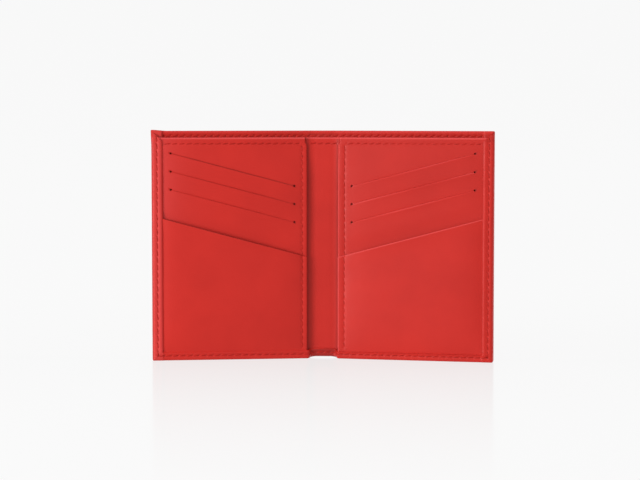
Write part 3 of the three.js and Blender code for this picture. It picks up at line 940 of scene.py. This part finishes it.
def cloth_sheet(name, side, box, node_names, top=None):
    """A cloth sheet filling a CAD node's depth; top gives its upper edge where that slants."""
    (u0, front, foot), (u1, back, ceiling) = box
    u, share = np.meshgrid(stations((u0, u1, 1.6)), np.linspace(0, 1, 60), indexing="ij")
    head = top(u) if top else np.full(u.shape, ceiling)
    z = foot + share * (head - foot)
    press = squeeze(u, z) if back < 0 else 1
    faces = (sheet_grid(u, z, depth * press) for depth in (front, back))
    piece = slab(name, side, LINING_CLOTH, *faces)
    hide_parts(*node_names)
    return piece


def linings(side):
    """The note compartment's lining, the panel lining, and the three slot bags."""
    (_, front, foot), (edge, back, top) = leaf_box("right_cover_lining")
    lining = cloth_sheet(side + "_cover_lining_cloth", side, ((0, front, foot), (edge, back, top)),
                         [side + "_cover_lining", "spine_cover_lining"])
    cross_fold(lining)
    panel = cloth_sheet(side + "_panel_lining_cloth", side, leaf_box("right_panel_lining"),
                        [side + "_panel_lining"])
    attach(panel, side + "_leaf")
    for tier, name in enumerate(("upper", "middle", "lower")):
        bag = cloth_sheet(
            f"{side}_{name}_slot_bag_cloth", side, leaf_box(f"right_{name}_slot_bag"),
            [f"{side}_{name}_slot_bag"], top=lambda u, tier=tier: slit_height(tier, u) + BAG_HEADROOM,
        )
        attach(bag, side + "_leaf")


def cross_fold(piece):
    """Bakes the piece's placement into its mesh. The piece crosses the fold between its leaf and the
    spine and is already bent there.
    """
    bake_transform(piece)


# ---------- stitching

RINGS, SPOKES = 13, 10


def stitch_template():
    """One stitch of three-ply thread, as rings of (share of the way, offset across, offset up)."""
    way = np.linspace(0, 1, RINGS)
    angle = np.arange(SPOKES) / SPOKES * 2 * math.pi
    lobes = 1 + 0.14 * np.cos(3 * angle[None, :] - 7.5 * way[:, None])
    taper = 0.55 + 0.45 * step(np.minimum(way, 1 - way), 0, 0.2)
    radius = lobes * taper[:, None]
    across, up = radius * np.cos(angle), 0.75 * radius * np.sin(angle)
    return np.broadcast_to(way[:, None], across.shape), across, up


def stitch_faces():
    """Quads round the rings, and a face at each end."""
    faces = []
    for ring in range(RINGS - 1):
        for spoke in range(SPOKES):
            after = (spoke + 1) % SPOKES
            a, b = ring * SPOKES, (ring + 1) * SPOKES
            faces.append([a + spoke, a + after, b + after, b + spoke])
    last = (RINGS - 1) * SPOKES
    return faces + [list(range(SPOKES))[::-1], list(range(last, last + SPOKES))]


def stitches(name, side, rows, nodes, crosses):
    """The visible stitches of several seams as one piece. Each row is (seam, surface, outward), where
    surface gives the leather's depth at (u, z) and outward is -1 on the inside and 1 on the outside.
    A stitch runs from the low end of one slanting hole to the high end of the next."""
    way, across, up = stitch_template()
    share = 0.04 + 0.92 * way
    points, faces = [], []
    for seam, surface, outward in rows:
        for a, b in zip(seam.holes[:-1], seam.holes[1:]):
            line = a + share[..., None] * (b - a)
            shift = THREAD_RADIUS * across + SIDES[side] * THREAD_SLANT * (2 * share - 1)
            spot = line + shift[..., None] * seam.beside
            rise = THREAD_CROWN * np.sin(math.pi * share) ** 0.6 - THREAD_SINK - 0.5 * seam.depth
            depth = surface(line[..., 0], line[..., 1]) + outward * (rise + THREAD_RADIUS * up)
            faces += [[i + len(points) * way.size for i in f] for f in stitch_faces()]
            points.append(np.stack([spot[..., 0], depth, spot[..., 1]], axis=-1).reshape(-1, 3))
    bm, _ = flat_mesh(np.concatenate(points), faces)
    piece = finish_mesh(bm, f"{side}_{name}_stitches", side, THREAD)
    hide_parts(*nodes)
    if crosses:
        cross_fold(piece)
    else:
        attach(piece, side + "_leaf")


def hem_surface(u, z):
    """Depth of the front of the side and bottom hems."""
    depth = np.where(u > HEM_EDGE, side_hem_front(z), bottom_hem_front(u))
    return depth * hem_squeeze(u, z)


def panel_surface(u, z):
    """Depth of the front of the pocket, and of the slit panel above its mouth."""
    pocket = POCKET_FRONT * squeeze(u, z) - 0.05 - pocket_swell(u, z)
    panel = SLIT_PANEL_BACK * squeeze(u, z) - PANEL_THICKNESS - panel_swell(u, z)
    return np.where(z < mouth_height(u), pocket, panel)


def sewing(side):
    """Every seam of one half."""
    stitches("perimeter", side,
             [(SEAMS["side"], hem_surface, -1), (SEAMS["bottom"], hem_surface, -1)],
             [side + "_perimeter_thread", "spine_perimeter_thread"], crosses=True)
    stitches("outer", side,
             [(SEAMS[name], cover_back, 1) for name in ("side", "bottom", "outer_top")],
             [side + "_outer_thread", "spine_outer_thread_top", "spine_outer_thread_bottom"],
             crosses=True)
    stitches("top_hem", side,
             [(SEAMS["top"], lambda u, z: TOP_HEM_FRONT + 0 * u, -1)],
             [side + "_top_hem_thread", "spine_top_hem_thread"], crosses=True)
    stitches("gutter_divider", side,
             [(SEAMS["gutter_divider"], lambda u, z: DIVIDER_FRONT + 0 * u, -1)],
             ["spine_divider_thread"], crosses=True)
    stitches("divider", side, [(SEAMS["panel_divider"], panel_surface, -1)],
             [side + "_divider_thread"], crosses=False)
    stitches("panel", side, [(SEAMS["panel"], panel_surface, -1)],
             [side + "_panel_thread"], crosses=False)


# ---------- stage, light and camera

def backdrop():
    """A pale round floor that sweeps up into a plain wall all round. Its glow is for the eye only: the
    light on the object comes from the world and the lamps."""
    reach, bend, wall, spokes = 3.0, 0.8, 3.0, 96
    arc = np.linspace(0, math.pi / 2, 13)
    profile = [(0.5, 0.0), (1.4, 0.0)]
    profile += [(reach - bend + bend * math.sin(a), bend * (1 - math.cos(a))) for a in arc]
    profile.append((reach, wall))
    turns = np.arange(spokes) / spokes * 2 * math.pi
    points = [(r * math.cos(t), r * math.sin(t), z) for r, z in profile for t in turns]
    faces = [list(range(spokes))]
    for ring in range(len(profile) - 1):
        for spoke in range(spokes):
            a, b = ring * spokes, (ring + 1) * spokes
            after = (spoke + 1) % spokes
            faces.append([a + spoke, b + spoke, b + after, a + after])
    mesh = bpy.data.meshes.new("backdrop")
    mesh.from_pydata(points, [], faces)
    mesh.shade_smooth()
    mesh.set_sharp_from_angle(angle=math.radians(40))
    mesh.materials.append(floor_material())
    floor = bpy.data.objects.new("backdrop", mesh)
    floor.visible_diffuse = False
    floor.visible_glossy = False
    bpy.context.scene.collection.objects.link(floor)


def floor_material():
    """Pale lacquer, glossiest close to the object."""
    material, tree, shader, place_on = new_material("pale_floor")
    tone = noise(tree, place_on, 400.0, 2)
    base = ramp(tree, tone, (0.045, 0.045, 0.045), (0.05, 0.05, 0.05))
    tree.links.new(base, shader.inputs["Base Color"])
    shader.inputs["Roughness"].default_value = 1.0
    shader.inputs["Specular IOR Level"].default_value = 0.0
    shader.inputs["Emission Color"].default_value = (1, 1, 1, 1)
    shader.inputs["Emission Strength"].default_value = 0.905
    parts = node(tree, "ShaderNodeSeparateXYZ", [("Vector", place_on)])
    away = maths(tree, "ABSOLUTE", parts.outputs["Y"])
    gloss = node(tree, "ShaderNodeBsdfGlossy", [("Roughness", 0.10)]).outputs[0]
    near = maths(tree, "POWER", spread(tree, away, 1.0, 0.0, 0.0, 0.34), 1.6)
    share = maths(tree, "MULTIPLY", near, 0.15)
    both = node(tree, "ShaderNodeMixShader", [(0, share), (1, shader.outputs[0]), (2, gloss)])
    tree.links.new(both.outputs[0], tree.nodes["Material Output"].inputs["Surface"])
    return material


def softbox(name, place_at, size, power):
    """A square area light aimed at the middle of the object."""
    data = bpy.data.lights.new(name, "AREA")
    data.shape = "SQUARE"
    data.size = size
    data.energy = power
    lamp = bpy.data.objects.new(name, data)
    lamp.location = place_at
    x, y, z = np.array((0, 0, HEIGHT / 2 * MM)) - np.array(place_at)
    lamp.rotation_euler = (math.pi / 2 + math.atan2(z, math.hypot(x, y)), 0, -math.atan2(x, y))
    bpy.context.scene.collection.objects.link(lamp)


def light():
    """A key from the left, a rim light far to the left, and a world that is brightest behind the
    object and a little brighter above than below."""
    softbox("key", (-0.64, -0.54, 0.06), size=0.40, power=6.8)
    softbox("rim", (-0.75, -0.08, 0.12), size=0.30, power=0.35)
    world = bpy.data.worlds.new("studio")
    world.use_nodes = True
    tree = world.node_tree
    ways = node(tree, "ShaderNodeTexCoord").outputs["Generated"]
    parts = node(tree, "ShaderNodeSeparateXYZ", [("Vector", ways)]).outputs
    front = spread(tree, parts["Z"], 0.59, 0.73, -0.4, 0.6)
    behind = spread(tree, parts["Y"], 0.0, 0.5, 0.0, 0.25)
    strength = maths(tree, "ADD", front, behind)
    tree.links.new(strength, tree.nodes["Background"].inputs["Strength"])
    tree.nodes["Background"].inputs["Color"].default_value = (1, 1, 1, 1)
    bpy.context.scene.world = world


def camera():
    """A long lens a little above the holder, a few degrees to its right."""
    data = bpy.data.cameras.new("camera")
    data.sensor_width = 36
    data.lens = 111.4
    view = bpy.data.objects.new("camera", data)
    view.location = (0.0388, -0.900, 0.1217)
    view.rotation_euler = (math.radians(90 - 4.24), 0, math.radians(2.55))
    bpy.context.scene.collection.objects.link(view)
    bpy.context.scene.camera = view


# ---------- the whole

bpy.context.scene.view_settings.view_transform = "Standard"
camera()
backdrop()
light()
for side in SIDES:
    leaf = side + "_leaf"
    cross_fold(cover_half(side))
    cross_fold(divider_half(side))
    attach(slit_panel(side), leaf)
    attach(front_pocket(side), leaf)
    linings(side)
    sewing(side)
    stiffener = frame["nodes"][side + "_stiffener"]
    stiffener.data.materials.clear()
    stiffener.data.materials.append(BOARD)
